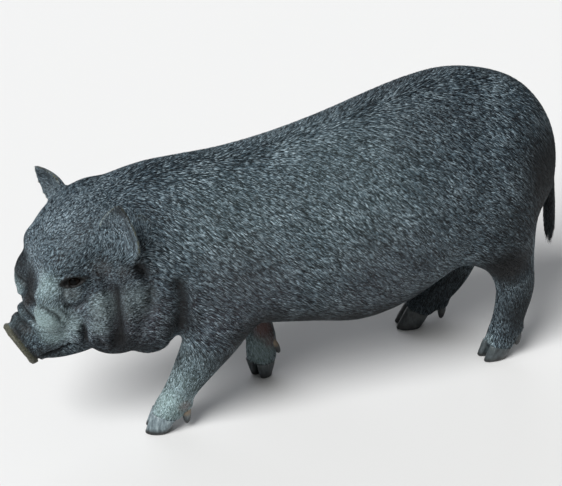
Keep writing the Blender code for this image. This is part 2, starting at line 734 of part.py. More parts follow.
def main():
    clear_scene()
    body = faceted(sculpted(), FACETS)
    head_node = split(body, "head", [(HEAD_CUT, 1)])
    neck_node = split(body, "neck", [(HEAD_CUT, -1), (NECK_CUT, 1)])
    for side in ("left", "right"):
        leaf = ear(side)
        socketed(head_node, leaf)
        socketed(neck_node, leaf)
    for side in BOTH:
        hollow = grown(eye(side), GAP * 1.3)
        combined(hollow, lid_opening(side), "UNION")
        combined(head_node, hollow, "DIFFERENCE")
        only_largest(head_node)
    torso = split(body, "torso", [(NECK_CUT, -1)])
    for name in LEG_NAMES:
        combined(torso, leg_block(name, GAP / 2), "DIFFERENCE")
    only_largest(torso)
    socketed(torso, tail())
    for name in LEG_NAMES:
        leg = split(body, "leg_" + name, [(CORONET[name], -1)])
        combined(leg, leg_block(name, -GAP / 2), "INTERSECT")
        only_largest(leg)
        for index in (0, 1):
            socketed(leg, dewclaw(name, index))
        claw_pair(name)
    bpy.data.objects.remove(body)
    nodes = list(bpy.data.objects)
    centred(nodes)
    for node in nodes:
        painted(node)


main()
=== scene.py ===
"""A small black bristly pig, walking with its head low: a still, life-size model.

One skin covers the flesh of the whole body. Short flat bristles lie over it, from the snout back and down.
Hooves, dewclaws and eyes are pieces of their own. All sizes and places are in metres.
"""
import json
import math

import bmesh
import bpy
import numpy as np
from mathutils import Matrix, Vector
from mathutils.bvhtree import BVHTree

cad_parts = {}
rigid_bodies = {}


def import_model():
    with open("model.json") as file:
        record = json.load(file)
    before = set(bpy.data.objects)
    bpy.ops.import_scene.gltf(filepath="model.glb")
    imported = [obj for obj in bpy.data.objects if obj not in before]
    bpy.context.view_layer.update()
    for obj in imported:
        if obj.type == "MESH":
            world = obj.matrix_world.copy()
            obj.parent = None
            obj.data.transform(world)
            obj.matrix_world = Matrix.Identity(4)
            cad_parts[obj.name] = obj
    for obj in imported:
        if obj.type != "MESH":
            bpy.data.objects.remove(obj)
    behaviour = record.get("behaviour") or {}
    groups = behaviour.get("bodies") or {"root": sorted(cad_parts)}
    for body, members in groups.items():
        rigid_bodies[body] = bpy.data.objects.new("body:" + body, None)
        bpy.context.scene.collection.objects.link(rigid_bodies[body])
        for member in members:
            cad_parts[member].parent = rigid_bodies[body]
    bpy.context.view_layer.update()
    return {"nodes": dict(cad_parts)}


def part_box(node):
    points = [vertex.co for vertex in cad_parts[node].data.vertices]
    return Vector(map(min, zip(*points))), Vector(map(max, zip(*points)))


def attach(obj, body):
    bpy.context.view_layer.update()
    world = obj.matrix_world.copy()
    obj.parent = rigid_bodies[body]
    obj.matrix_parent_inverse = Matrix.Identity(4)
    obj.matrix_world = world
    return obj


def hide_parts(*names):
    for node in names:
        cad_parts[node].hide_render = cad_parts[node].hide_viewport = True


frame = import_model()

SIDES = {"left": 1, "right": -1}
HORNED = [n for n in frame["nodes"] if "claw" in n]

# Places on the pig are measured from this point, which lies under the middle of its stride
ORIGIN = np.array((0.0, -0.0121, 0.0))
EYE = np.array((0.0590, -0.3385, 0.2795))
# The disc of the snout: its middle, how far it leans, the way it faces and its upward way, and its size
DISC = np.array((0.0, -0.4050, 0.1630))
DISC_PITCH = math.radians(31)
DISC_FRONT = np.array((0.0, -math.cos(DISC_PITCH), -math.sin(DISC_PITCH)))
DISC_UP = np.array((0.0, -math.sin(DISC_PITCH), math.cos(DISC_PITCH)))
DISC_HALF_WIDTH, DISC_HALF_HEIGHT = 0.0335, 0.0355
NOSTRIL = np.array((0.0125, -0.4135, 0.1645))
# From the foot of each ear to its tip
EAR_LINE = {
    "left": (np.array((0.066, -0.279, 0.302)), np.array((0.111, -0.289, 0.403))),
    "right": (np.array((-0.056, -0.308, 0.331)), np.array((-0.132, -0.330, 0.360))),
}

# The hide: the grain in which the flesh is fused, how many faces are kept, and how deep in the coat it lies
VOXEL = 0.0024
SKIN_FACES = 188000
COAT_DEPTH = 0.0015
# How far each solid of flesh is grown so that neighbours fuse, how deep inside the horn and how far above the
# soles the hide runs on, and how far it lies over the eyes
FLESH_GROWTH = 0.00035
HORN_INSET = 0.0013
ABOVE_SOLE = 0.0022
OVER_EYE = 0.0006
# Rounds of smoothing for the trunk, for the whole body, and for the thin ears and tail
TRUNK_ROUNDS, BODY_ROUNDS, THIN_ROUNDS = 46, 14, 4

# Folds of the left side: line, half width, depth, how dark they are painted as painted shade in the fold, and whether
# the right side has them as well
FOLDS = [
    # Behind the cheek, from the foot of the ear down to the jaw
    ([(0.0792, -0.2950, 0.2849), (0.0840, -0.2922, 0.2667), (0.0890, -0.2912, 0.2486), (0.0921, -0.2900, 0.2306),
      (0.0917, -0.2893, 0.2100), (0.0853, -0.2868, 0.1839), (0.0700, -0.2850, 0.1650)], 0.0084, 0.0056, 1.00, True),
    # Between jowl and neck, then between jowl and shoulder
    ([(0.0970, -0.2483, 0.2895), (0.0981, -0.2452, 0.2695), (0.0948, -0.2427, 0.2441), (0.0941, -0.2427, 0.2157)],
     0.0080, 0.0022, 0.45, True),
    ([(0.1033, -0.2110, 0.2843), (0.1026, -0.2042, 0.2609), (0.0986, -0.1990, 0.2359), (0.0945, -0.1979, 0.2178),
      (0.0868, -0.1970, 0.1946), (0.0740, -0.1980, 0.1600)], 0.0095, 0.0055, 0.85, True),
    # Round the eye: under its pouch, in front of it, and over the lid
    ([(0.0640, -0.3579, 0.2548), (0.0633, -0.3513, 0.2437), (0.0656, -0.3411, 0.2402), (0.0690, -0.3331, 0.2465),
      (0.0730, -0.3210, 0.2560)], 0.0036, 0.0032, 0.75, True),
    ([(0.0655, -0.3570, 0.2840), (0.0645, -0.3555, 0.2661), (0.0640, -0.3579, 0.2548)], 0.0030, 0.0016, 0.45, True),
    ([(0.0600, -0.3610, 0.2900), (0.0690, -0.3480, 0.2958), (0.0735, -0.3330, 0.2962), (0.0770, -0.3160, 0.2890)],
     0.0030, 0.0022, 0.45, True),
    # The hollow between forehead and snout, and the wrinkles that cross the snout
    ([(0.0000, -0.3892, 0.2300), (0.0200, -0.3900, 0.2380), (0.0400, -0.3915, 0.2450), (0.0530, -0.3909, 0.2491)],
     0.0058, 0.0045, 0.90, True),
    ([(0.0000, -0.3975, 0.2180), (0.0180, -0.3945, 0.2170), (0.0328, -0.3898, 0.2133), (0.0534, -0.3798, 0.2064)],
     0.0040, 0.0050, 1.00, True),
    ([(0.0530, -0.3909, 0.2480), (0.0630, -0.3818, 0.2446), (0.0665, -0.3683, 0.2340), (0.0628, -0.3582, 0.2195)],
     0.0036, 0.0036, 0.95, True),
    ([(0.0000, -0.4020, 0.2050), (0.0180, -0.3990, 0.2040), (0.0310, -0.3920, 0.1960)], 0.0028, 0.0024, 0.70, True),
    # The mouth, the folds at its corner and on the jaw
    ([(0.0000, -0.3920, 0.1470), (0.0240, -0.3880, 0.1500), (0.0370, -0.3660, 0.1570), (0.0470, -0.3450, 0.1660),
      (0.0600, -0.3300, 0.1800)], 0.0038, 0.0045, 0.90, True),
    ([(0.0734, -0.3349, 0.2204), (0.0707, -0.3328, 0.2028), (0.0551, -0.3256, 0.1720)], 0.0044, 0.0052, 0.95, True),
    ([(0.0680, -0.3450, 0.2090), (0.0699, -0.3362, 0.2001), (0.0751, -0.3266, 0.2021)], 0.0034, 0.0030, 0.80, True),
    ([(0.0811, -0.3190, 0.1957), (0.0786, -0.3131, 0.1819), (0.0795, -0.3037, 0.1769)], 0.0044, 0.0032, 0.80, True),
    # The rear edge of the left ear, barely sunk: mostly a painted shadow along it. Then the hollow behind its foot,
    # with painted shade
    ([(0.1105, -0.2828, 0.3868), (0.1005, -0.2735, 0.3596), (0.0994, -0.2672, 0.3340), (0.0926, -0.2602, 0.3051)],
     0.0040, 0.0004, 0.75, False),
    ([(0.0924, -0.2631, 0.3040), (0.0955, -0.2548, 0.2902), (0.0979, -0.2463, 0.2758)], 0.0062, 0.0050, 0.95, False),
]
# Beside a fold the skin swells, more beside a fine one, whose half width is below the limit
SWELL_LIMIT, FINE_SWELL, BROAD_SWELL = 0.005, 0.38, 0.12
# The painted shade in a fold spreads over this share of its half width, more in a broad one, above the limit
SHADE_LIMIT, FINE_SHADE, BROAD_SHADE = 0.006, 0.75, 1.15


def linear(code):
    """A colour written as sRGB hex, as the linear RGBA that the shaders take."""
    parts = [int(code[i:i + 2], 16) / 255 for i in (0, 2, 4)]
    return (*[c / 12.92 if c <= 0.04045 else ((c + 0.055) / 1.055) ** 2.4 for c in parts], 1.0)


def smooth(t):
    """Rises from 0 at t = 0 to 1 at t = 1 with no corner."""
    t = np.clip(t, 0.0, 1.0)
    return t * t * (3 - 2 * t)


def unit(vector):
    return vector / np.linalg.norm(vector)


def points_of(obj):
    points = np.empty(len(obj.data.vertices) * 3, np.float32)
    obj.data.vertices.foreach_get("co", points)
    return points.reshape(-1, 3).astype(float)


def normals_of(obj):
    normals = np.empty(len(obj.data.vertices) * 3, np.float32)
    obj.data.vertex_normals.foreach_get("vector", normals)
    return normals.reshape(-1, 3).astype(float)


def set_points(obj, points):
    obj.data.vertices.foreach_set("co", points.astype(np.float32).ravel())
    obj.data.update()


def keep(mesh, layers):
    """Keeps named values of every point on a mesh, where the materials read them."""
    for name, values in layers.items():
        mesh.attributes.new(name, "FLOAT", "POINT").data.foreach_set("value", values.astype(np.float32))


def shaded_smooth(obj):
    for polygon in obj.data.polygons:
        polygon.use_smooth = True


def chosen(*objects):
    """Selects these objects and nothing else, and makes the first one active."""
    for other in bpy.context.view_layer.objects:
        other.select_set(False)
    for obj in objects:
        obj.select_set(True)
    bpy.context.view_layer.objects.active = objects[0]


def shaped(obj, kind, **settings):
    """Adds one modifier with its settings and applies it."""
    chosen(obj)
    modifier = obj.modifiers.new(kind.lower(), kind)
    for key, value in settings.items():
        setattr(modifier, key, value)
    bpy.ops.object.modifier_apply(modifier=modifier.name)
    return obj


def merged_copy(name, grow):
    """A copy of a CAD node with its loose triangles merged, grown a little along its normals."""
    mesh = bmesh.new()
    mesh.from_mesh(frame["nodes"][name].data)
    bmesh.ops.remove_doubles(mesh, verts=mesh.verts, dist=0.00001)
    mesh.normal_update()
    for vert in mesh.verts:
        vert.co += vert.normal * grow
    data = bpy.data.meshes.new(name + "_copy")
    mesh.to_mesh(data)
    mesh.free()
    obj = bpy.data.objects.new(name + "_copy", data)
    bpy.context.scene.collection.objects.link(obj)
    return obj


def weights(obj, values):
    """A vertex group with these weights, in steps of a tenth."""
    group = obj.vertex_groups.new(name="share")
    for level in range(1, 11):
        members = np.flatnonzero(np.rint(values * 10) == level)
        group.add(members.tolist(), level / 10, "REPLACE")
    return group.name


def settled(obj, passes, values):
    """Smooths the skin where the values are high."""
    name = weights(obj, values)
    shaped(obj, "SMOOTH", factor=0.5, iterations=passes, vertex_group=name)
    obj.vertex_groups.clear()


def ball(side, segments, rings, margin=0.0):
    """A sphere in the place of an eye, with its centre."""
    low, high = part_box("eye_" + side)
    centre = (low + high) / 2
    bpy.ops.object.select_all(action="DESELECT")
    bpy.ops.mesh.primitive_uv_sphere_add(segments=segments, ring_count=rings,
                                         radius=(high - low)[2] / 2 + margin, location=centre)
    return bpy.context.object, np.array(centre)


def away_from_line(points, line):
    """Distance of each point from a line of straight pieces, and how far along the line its foot lies, 0 to 1."""
    line = np.array(line)
    best = np.full(len(points), 1e9)
    along = np.zeros(len(points))
    lengths = np.linalg.norm(np.diff(line, axis=0), axis=1)
    total, done = lengths.sum(), 0.0
    for a, b, size in zip(line[:-1], line[1:], lengths):
        t = np.clip((points - a) @ (b - a) / size ** 2, 0, 1)
        gap = np.linalg.norm(points - (a + t[:, None] * (b - a)), axis=1)
        nearer = gap < best
        best[nearer] = gap[nearer]
        along[nearer] = (done + t[nearer] * size) / total
        done += size
    return best, along


def tree_of(obj):
    """A search tree of a mesh of triangles, with the triangles' corners."""
    corners = np.empty(len(obj.data.loops), np.int32)
    obj.data.loops.foreach_get("vertex_index", corners)
    triangles = corners.reshape(-1, 3)
    return BVHTree.FromPolygons(points_of(obj).tolist(), triangles.tolist()), triangles


def groove_of_disc():
    """The ring-shaped hollow just behind the rim of the snout's disc, its left half, with painted shade in it."""
    radius, behind = 0.031, 0.0095
    ring = [DISC + radius * (np.array((math.cos(t), 0, 0)) + DISC_UP * math.sin(t)) - behind * DISC_FRONT
            for t in np.radians(np.linspace(90, -90, 9))]
    return ([tuple(p) for p in ring], 0.0032, 0.0030, 0.80, True)


def folded(skin):
    """Sinks every fold into the skin with a low swell beside it, and keeps how far into a fold each point lies, as
    the share of painted shade there.
    """
    points, normals = points_of(skin), normals_of(skin)
    tree = tree_of(skin)[0]
    push, share = np.zeros(len(points)), np.zeros(len(points))
    for line, half_width, depth, dark, both in FOLDS + [groove_of_disc()]:
        line = np.array(line)
        steps = np.concatenate([a + np.linspace(0, 1, 5, endpoint=False)[:, None] * (b - a)
                                for a, b in zip(line[:-1], line[1:])] + [line[-1:]])
        for side in ((1, -1) if both else (1,)):
            path = np.array([tree.find_nearest(p)[0] for p in (steps * (side, 1, 1) + ORIGIN).tolist()])
            reach = 4 * half_width
            near = (points > path.min(axis=0) - reach) & (points < path.max(axis=0) + reach)
            rows = np.flatnonzero(np.all(near, axis=1))
            gap, along = away_from_line(points[rows], path)
            # A fold that starts on the middle line goes on at the other side, so it doesn't fade there
            start = 1.0 if line[0][0] == 0 else 0.0
            ends = smooth(along / 0.18 + start) * smooth((1 - along) / 0.22 + start * (line[-1][0] < 0.001))
            valley = np.exp(-(gap / half_width) ** 2)
            swell = FINE_SWELL if half_width < SWELL_LIMIT else BROAD_SWELL
            swell = swell * np.exp(-((gap - 2.0 * half_width) / (0.8 * half_width)) ** 2)
            here = depth * ends * (valley - swell)
            push[rows] = np.where(np.abs(here) > np.abs(push[rows]), here, push[rows])
            spread = half_width * (BROAD_SHADE if half_width > SHADE_LIMIT else FINE_SHADE)
            share[rows] = np.maximum(share[rows], dark * ends * np.exp(-(gap / spread) ** 2))
    set_points(skin, points - normals * push[:, None])
    keep(skin.data, {"fold": share})


def ear_share(points):
    """1 on the ears, 0 on the head, with the place along the ear."""
    share = np.zeros(len(points))
    along = np.zeros(len(points))
    for root, tip in EAR_LINE.values():
        root, tip = root + ORIGIN, tip + ORIGIN
        axis = tip - root
        t = (points - root) @ axis / (axis @ axis)
        gap = np.linalg.norm(points - (root + np.clip(t, 0, 1)[:, None] * axis), axis=1)
        inside = smooth((t - 0.16) / 0.16) * smooth((0.050 - gap) / 0.008)
        along = np.where(inside > share, np.clip(t, 0, 1), along)
        share = np.maximum(share, inside)
    return share, along


def head_share(points):
    """1 on the head, 0 on the body."""
    return smooth((-0.225 - (points - ORIGIN)[:, 1]) / 0.06)


def tail_share(points):
    """1 on the hanging tail, 0 on the body."""
    place = points - ORIGIN
    behind, below = smooth((place[:, 1] - 0.400) / 0.008), smooth((0.345 - place[:, 2]) / 0.01)
    return behind * below * (np.abs(place[:, 0]) < 0.016)


def leg_share(points):
    """1 on the legs below the belly, 0 on the trunk and the head."""
    place = points - ORIGIN
    fore = smooth((0.165 - place[:, 2]) / 0.05) * (place[:, 1] > -0.26) * (place[:, 1] < 0.03)
    fore = fore * (np.abs(place[:, 0]) > 0.012)
    jowl = (place[:, 1] < -0.200) & (place[:, 2] > 0.128)
    hind = smooth((0.200 - place[:, 2]) / 0.06) * (place[:, 1] > 0.2)
    low = smooth((0.104 - place[:, 2]) / 0.01)
    return np.maximum(np.where(jowl, 0, fore), np.maximum(hind, np.where(jowl, 0, low)))


def hide():
    """The one skin: all flesh fused without a seam, laid a coat's depth inside, with folds, lids and nostrils."""
    names = [n for n in frame["nodes"] if not n.startswith(("eye", "claw", "dewclaw"))]
    parts = [merged_copy(n, FLESH_GROWTH) for n in names]
    for name in HORNED:
        parts.append(merged_copy(name, -HORN_INSET))
        parts[-1].location.z = ABOVE_SOLE
    parts += [ball(side, 32, 16, OVER_EYE)[0] for side in SIDES]
    chosen(*parts)
    bpy.ops.object.join()
    skin = bpy.context.object
    skin.name = skin.data.name = "skin"
    bpy.ops.object.transform_apply(location=True, rotation=True, scale=True)
    shaped(skin, "REMESH", mode="VOXEL", voxel_size=VOXEL)
    points = points_of(skin)
    thin = np.maximum(ear_share(points)[0], tail_share(points))
    head = head_share(points)
    legs = leg_share(points)
    settled(skin, TRUNK_ROUNDS, (1 - head) * (1 - legs) * (1 - thin))
    settled(skin, BODY_ROUNDS, (1 - thin) * np.where(head > 0.5, 0.8, 1.0) * (1 - 0.4 * legs))
    settled(skin, THIN_ROUNDS, thin)
    shaped(skin, "TRIANGULATE")
    shaped(skin, "DECIMATE", ratio=min(1.0, SKIN_FACES / len(skin.data.polygons)))
    points = points_of(skin)
    thin = np.maximum(ear_share(points)[0], tail_share(points))
    foot = smooth((0.062 - points[:, 2]) / 0.02) * leg_share(points)
    depth = COAT_DEPTH * (1 - 0.55 * head_share(points)) * (1 - 0.8 * thin) * (1 - 0.65 * foot)
    set_points(skin, points - normals_of(skin) * depth[:, None])
    folded(skin)
    lids(skin)
    nostrils(skin)
    shaded_smooth(skin)
    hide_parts(*names)
    return skin


# The almond between the lids: its half length and half height, its tilt in degrees, how deep it is and its rim
LID_HALF_LENGTH, LID_HALF_HEIGHT, LID_TILT = 0.0128, 0.0058, 14
LID_DEPTH, LID_RIM = 0.0046, 0.0015


def eye_frame(side):
    """The middle of an eye, and its directions outwards, back along the lids and up."""
    out = unit(np.array((side * 0.86, -0.46, 0.22)))
    back = unit(np.cross((0, 0, side), out))
    tall = np.cross(out, back) * side
    tilt = math.radians(LID_TILT)
    return (EYE * (side, 1, 1) + ORIGIN, out, back * math.cos(tilt) + tall * math.sin(tilt),
            tall * math.cos(tilt) - back * math.sin(tilt))


def lids(skin):
    """Opens the almond of each eye over the eyeball, raises the rims of the lids, and keeps where the lids lie, a
    share that the materials also paint near-black as painted shade round the eye.
    """
    points = points_of(skin)
    share = np.zeros(len(points))
    for side in (1, -1):
        centre, out, back, tall = eye_frame(side)
        local = points - centre
        a = (local @ back) / LID_HALF_LENGTH
        b = (local @ tall + 0.0004) / (LID_HALF_HEIGHT * (1 - 0.12 * np.clip(a, -1, 1)))
        front = (local @ out) > 0
        far = np.linalg.norm(local, axis=1)
        reach = np.sqrt(a ** 2 + b ** 2 * (1 + 0.5 * np.abs(a)))
        inside = front * (far < 0.022) * smooth((1.14 - reach) / 0.30)
        points -= out * (inside * LID_DEPTH)[:, None]
        rim = front * np.exp(-((reach - 1.34) / 0.22) ** 2) * (far < 0.024)
        points += out * (rim * LID_RIM)[:, None]
        share = np.maximum(share, front * (far < 0.026) * smooth((1.85 - reach) / 0.40))
    set_points(skin, points)
    keep(skin.data, {"lid_and_shade": share})


def on_disc(local):
    """How far out on the snout's disc a place lies that is given from its middle: 0 there and 1 at the edge."""
    return np.sqrt((local[:, 0] / DISC_HALF_WIDTH) ** 2 + (local @ DISC_UP / DISC_HALF_HEIGHT) ** 2)


# How far the disc's rim stands up, then a nostril's half width, half height and depth, and how far its edge stands up
DISC_RIM = 0.0018
NOSTRIL_HALF_WIDTH, NOSTRIL_HALF_HEIGHT, NOSTRIL_DEPTH, NOSTRIL_RIM = 0.0058, 0.0068, 0.0065, 0.0009


def nostrils(skin):
    """Raises the rim of the snout's disc and sinks the two nostrils."""
    points = points_of(skin)
    local = points - (DISC + ORIGIN)
    front = (local @ DISC_FRONT) > -0.012
    points += np.outer(front * DISC_RIM * np.exp(-((on_disc(local) - 0.92) / 0.11) ** 2), DISC_FRONT)
    for side in (1, -1):
        local = points - (NOSTRIL * (side, 1, 1) + ORIGIN)
        a = local[:, 0] / NOSTRIL_HALF_WIDTH
        b = (local @ DISC_UP) / NOSTRIL_HALF_HEIGHT
        reach = np.sqrt(a ** 2 + b ** 2)
        near = (np.linalg.norm(local, axis=1) < 0.016) & front
        points += np.outer(near * NOSTRIL_DEPTH * smooth((1.15 - reach) / 0.5), -DISC_FRONT)
        points += np.outer(near * NOSTRIL_RIM * np.exp(-((reach - 1.35) / 0.25) ** 2), DISC_FRONT)
    set_points(skin, points)


# Tones of the hide, and painted light and painted shade: place on the left side, radius, share, and whether the right
# side has it as well
# Mostly painted light: on the lit lower legs, on a foot that lies in shade, on the cheek, eye pouch and brow, and
# along the top of the back and shoulders. On the snout, paler skin with painted light.
LIT_AND_PALE = [
    ((0.058, -0.210, 0.045), 0.042, 1.50, False),
    ((0.056, -0.195, 0.080), 0.050, 0.75, False),
    ((0.060, -0.170, 0.120), 0.050, 0.40, False),
    ((-0.018, -0.036, 0.050), 0.032, 1.30, False),
    ((0.000, -0.402, 0.192), 0.030, 0.30, False),
    ((0.060, -0.378, 0.220), 0.034, 1.50, True),
    ((0.046, -0.366, 0.198), 0.024, 1.20, True),
    ((0.084, -0.306, 0.240), 0.024, 1.20, True),
    ((0.080, -0.312, 0.215), 0.018, 0.80, True),
    ((0.064, -0.348, 0.262), 0.014, 0.90, True),
    ((0.100, -0.266, 0.245), 0.030, 0.75, True),
    ((0.052, -0.374, 0.272), 0.024, 0.80, False),
    ((0.070, -0.352, 0.215), 0.022, 0.90, True),
    ((0.095, 0.040, 0.350), 0.150, 0.20, True),
    ((0.090, -0.110, 0.330), 0.110, 0.20, True),
    ((0.066, 0.300, 0.034), 0.014, 0.50, False),
]
WARM = [
    ((0.085, -0.275, 0.215), 0.075, 0.70, True),
    ((0.110, -0.120, 0.220), 0.100, 0.50, True),
    ((0.110, 0.080, 0.200), 0.110, 0.40, True),
    ((0.060, -0.345, 0.225), 0.050, 0.30, True),
    ((0.084, -0.306, 0.235), 0.028, 0.80, True),
    ((0.066, -0.348, 0.262), 0.014, 0.90, True),
]
BROWN = [
    ((0.0770, -0.3070, 0.2970), 0.018, 0.40, False),
    ((0.0890, -0.2800, 0.2930), 0.012, 0.40, False),
    ((0.0000, -0.3920, 0.2280), 0.016, 0.70, False),
]
PINK = [
    ((-0.022, -0.028, 0.084), 0.018, 0.80, False),
    ((-0.020, -0.020, 0.064), 0.012, 0.60, False),
    ((0.073, -0.190, 0.047), 0.012, 0.45, False),
    ((-0.040, 0.310, 0.200), 0.050, 0.30, False),
]
# Painted shade: under the belly and jowl, on the rump and hams, behind the legs, in the hollows of the face, on the
# far side of the face and on the ears.
PAINTED_SHADE = [
    ((0.000, 0.060, 0.105), 0.125, 0.90, False),
    ((0.085, 0.405, 0.270), 0.110, 0.95, True),
    ((0.000, 0.415, 0.320), 0.110, 0.95, False),
    ((0.095, 0.375, 0.320), 0.085, 1.00, True),
    ((0.060, 0.370, 0.120), 0.070, 0.80, True),
    ((0.106, 0.300, 0.180), 0.060, 1.05, False),
    ((0.122, 0.315, 0.245), 0.075, 0.62, True),
    ((0.096, 0.345, 0.085), 0.050, 0.85, False),
    ((0.070, 0.285, 0.100), 0.030, 0.85, False),
    ((-0.070, 0.290, 0.070), 0.090, 0.70, False),
    ((-0.005, -0.385, 0.250), 0.036, 1.00, False),
    ((-0.046, -0.376, 0.262), 0.038, 0.90, False),
    ((0.083, -0.289, 0.178), 0.026, 0.90, True),
    ((0.094, -0.259, 0.293), 0.014, 0.95, False),
    ((0.098, -0.130, 0.115), 0.034, 0.80, False),
    ((0.084, -0.156, 0.074), 0.022, 0.80, False),
    ((0.110, -0.112, 0.160), 0.034, 0.90, False),
    ((0.058, -0.208, 0.125), 0.020, 0.75, False),
    ((-0.110, -0.322, 0.352), 0.042, 0.40, False),
    ((0.108, -0.286, 0.393), 0.018, 0.80, False),
    ((0.015, -0.407, 0.196), 0.022, 0.90, True),
    ((0.026, -0.372, 0.155), 0.026, 0.70, True),
    ((0.072, -0.322, 0.172), 0.022, 0.70, True),
    ((0.060, -0.300, 0.150), 0.050, 0.60, True),
    ((0.084, -0.270, 0.150), 0.044, 0.75, True),
    ((0.090, -0.205, 0.190), 0.034, 0.70, True),
    ((0.050, -0.090, 0.130), 0.045, 0.60, True),
    ((0.040, 0.170, 0.450), 0.110, 0.30, True),
    ((0.090, -0.075, 0.160), 0.052, 0.90, True),
    ((0.090, -0.015, 0.148), 0.054, 0.95, True),
    ((0.088, 0.045, 0.135), 0.054, 0.95, True),
    ((0.086, 0.105, 0.128), 0.054, 0.95, True),
    ((0.085, 0.165, 0.132), 0.052, 0.90, True),
]


def tone(points, spots):
    """How strongly a tone shows at each point: soft spots on one or both sides of the body."""
    place = points - ORIGIN
    total = np.zeros(len(points))
    for centre, radius, share, both in spots:
        for side in ((1, -1) if both else (1,)):
            gap = np.linalg.norm(place - np.array(centre) * (side, 1, 1), axis=1)
            total = np.maximum(total, share * smooth((1.35 - gap / radius) / 1.1))
    return total


def bare_share(points):
    """1 on the naked disc of the snout and in the nostrils."""
    local = points - ORIGIN - DISC
    return smooth((local @ DISC_FRONT + 0.0065) / 0.003) * (np.linalg.norm(local, axis=1) < 0.045)


def disc_rim_share(points):
    """1 on the rim of the snout's disc."""
    local = points - ORIGIN - DISC
    ahead, ring = local @ DISC_FRONT, on_disc(local)
    return smooth((ahead + 0.0066) / 0.003) * smooth((ring - 0.74) / 0.16) * (ring < 1.5) * (ahead < 0.02)


def ear_rim_share(skin, points, normals):
    """1 along the thin edges of the ears, found as the skin that bends sharply from one face to the other."""
    edges = np.empty(len(skin.data.edges) * 2, np.int32)
    skin.data.edges.foreach_get("vertices", edges)
    edges = edges.reshape(-1, 2)
    total, count = np.zeros_like(points), np.zeros(len(points))
    for a, b in ((0, 1), (1, 0)):
        np.add.at(total, edges[:, a], points[edges[:, b]])
        np.add.at(count, edges[:, a], 1)
    bend = np.sum((points - total / count[:, None]) * normals, axis=1)
    share, along = ear_share(points)
    return smooth((bend - 0.00030) / 0.00035) * smooth((share - 0.4) / 0.4) * smooth((along - 0.22) / 0.2)


def mark(skin):
    """Writes the tones of the hide, with painted light and painted shade, to the skin. The coat takes them from the
    place where each bristle grows.
    """
    points, normals = points_of(skin), normals_of(skin)
    shares = {"lit_and_pale": tone(points, LIT_AND_PALE), "warm": tone(points, WARM), "brown": tone(points, BROWN),
              "pink": tone(points, PINK), "deep": tone(points, PAINTED_SHADE), "bare": bare_share(points),
              "olive": np.maximum(disc_rim_share(points), 0.9 * ear_rim_share(skin, points, normals)),
              "headward": head_share(points), "legward": leg_share(points)}
    # The hanging tail is made dark with the same tone as the painted shade.
    shares["deep"] = np.maximum(shares["deep"], 0.9 * tail_share(points))
    keep(skin.data, shares)


# All that the skin keeps and the coat takes from it
TONES = ("lit_and_pale", "warm", "brown", "pink", "deep", "bare", "olive", "fold", "lid_and_shade", "headward", "legward")


def tones_at(skin, corners, share):
    """The tones of the hide at places on its triangles, given by their corners and the share of each corner."""
    found = {}
    values = np.empty(len(skin.data.vertices), np.float32)
    for name in TONES:
        skin.data.attributes[name].data.foreach_get("value", values)
        found[name] = (values[corners] * share).sum(axis=1)
    return found


def swirl(points, scale, seed):
    """A soft random value from -1 to 1 that changes slowly over the body."""
    rng = np.random.default_rng(seed)
    total = np.zeros(len(points))
    for _ in range(7):
        wave = rng.normal(size=3)
        wave *= scale * rng.uniform(0.6, 1.5) / np.linalg.norm(wave)
        total += np.sin(points @ wave + rng.uniform(0, 2 * math.pi))
    return total / 3.2


# The bristles of the head point away from this place on the snout
SNOUT_WHORL = (0.0, -0.415, 0.185)


def lie(points, normals, rng):
    """The way the bristles point: from the snout back over the head, back and down the trunk, down the legs."""
    place = points - ORIGIN
    head = head_share(points)[:, None]
    legs = leg_share(points)[:, None]
    tail = tail_share(points)[:, None]
    ones = np.ones(len(points))
    flow = np.stack((0.45 * np.tanh(place[:, 0] / 0.03), 0.72 * ones, -0.62 * ones), axis=1)
    from_snout = place - SNOUT_WHORL
    from_snout /= np.linalg.norm(from_snout, axis=1, keepdims=True)
    cheek = np.array((0.0, 0.8, -0.55)) * smooth((0.26 - place[:, 2]) / 0.08)[:, None]
    flow = flow * (1 - head) + (from_snout + 0.6 * cheek) * head
    fore = place[:, 1] < 0.1
    slant = np.select([fore & (place[:, 0] > 0), fore, place[:, 0] < 0], [-0.42, 0.35, -0.45], 0.05)
    flow = flow * (1 - legs) + np.stack((0 * ones, slant, -ones), axis=1) * legs
    flow = flow * (1 - tail) + np.array((0.0, 0.1, -1.0)) * tail
    share = ear_share(points)[0]
    for side, (root, tip) in EAR_LINE.items():
        here = (share * (np.sign(place[:, 0]) == SIDES[side]))[:, None]
        flow = flow * (1 - here) + unit(tip - root) * here
    flow -= normals * np.sum(flow * normals, axis=1, keepdims=True) * (1 - 0.5 * tail)
    flow /= np.linalg.norm(flow, axis=1, keepdims=True) + 1e-9
    across = np.cross(normals, flow)
    turn = 0.10 * swirl(points, 30, 3) + 0.05 * swirl(points, 110, 4) + rng.normal(0, 0.06, len(points))
    turn += head[:, 0] * 0.22 * swirl(points, 60, 5)
    flow = flow * np.cos(turn)[:, None] + across * np.sin(turn)[:, None]
    return flow, np.cross(normals, flow)


def unwrapped(skin):
    """A coarse copy of the skin, unwrapped: its search tree, and the corners and UVs of its triangles."""
    proxy = skin.copy()
    proxy.data = skin.data.copy()
    bpy.context.scene.collection.objects.link(proxy)
    shaped(proxy, "DECIMATE", ratio=0.035)
    chosen(proxy)
    bpy.ops.object.mode_set(mode="EDIT")
    bpy.ops.mesh.select_all(action="SELECT")
    bpy.ops.uv.smart_project(angle_limit=math.radians(66), island_margin=0.006)
    bpy.ops.object.mode_set(mode="OBJECT")
    uv = np.empty(len(proxy.data.loops) * 2, np.float32)
    proxy.data.uv_layers.active.data.foreach_get("uv", uv)
    tree, triangles = tree_of(proxy)
    corners = points_of(proxy)[triangles]
    bpy.data.objects.remove(proxy)
    return tree, corners, uv.reshape(-1, 3, 2)


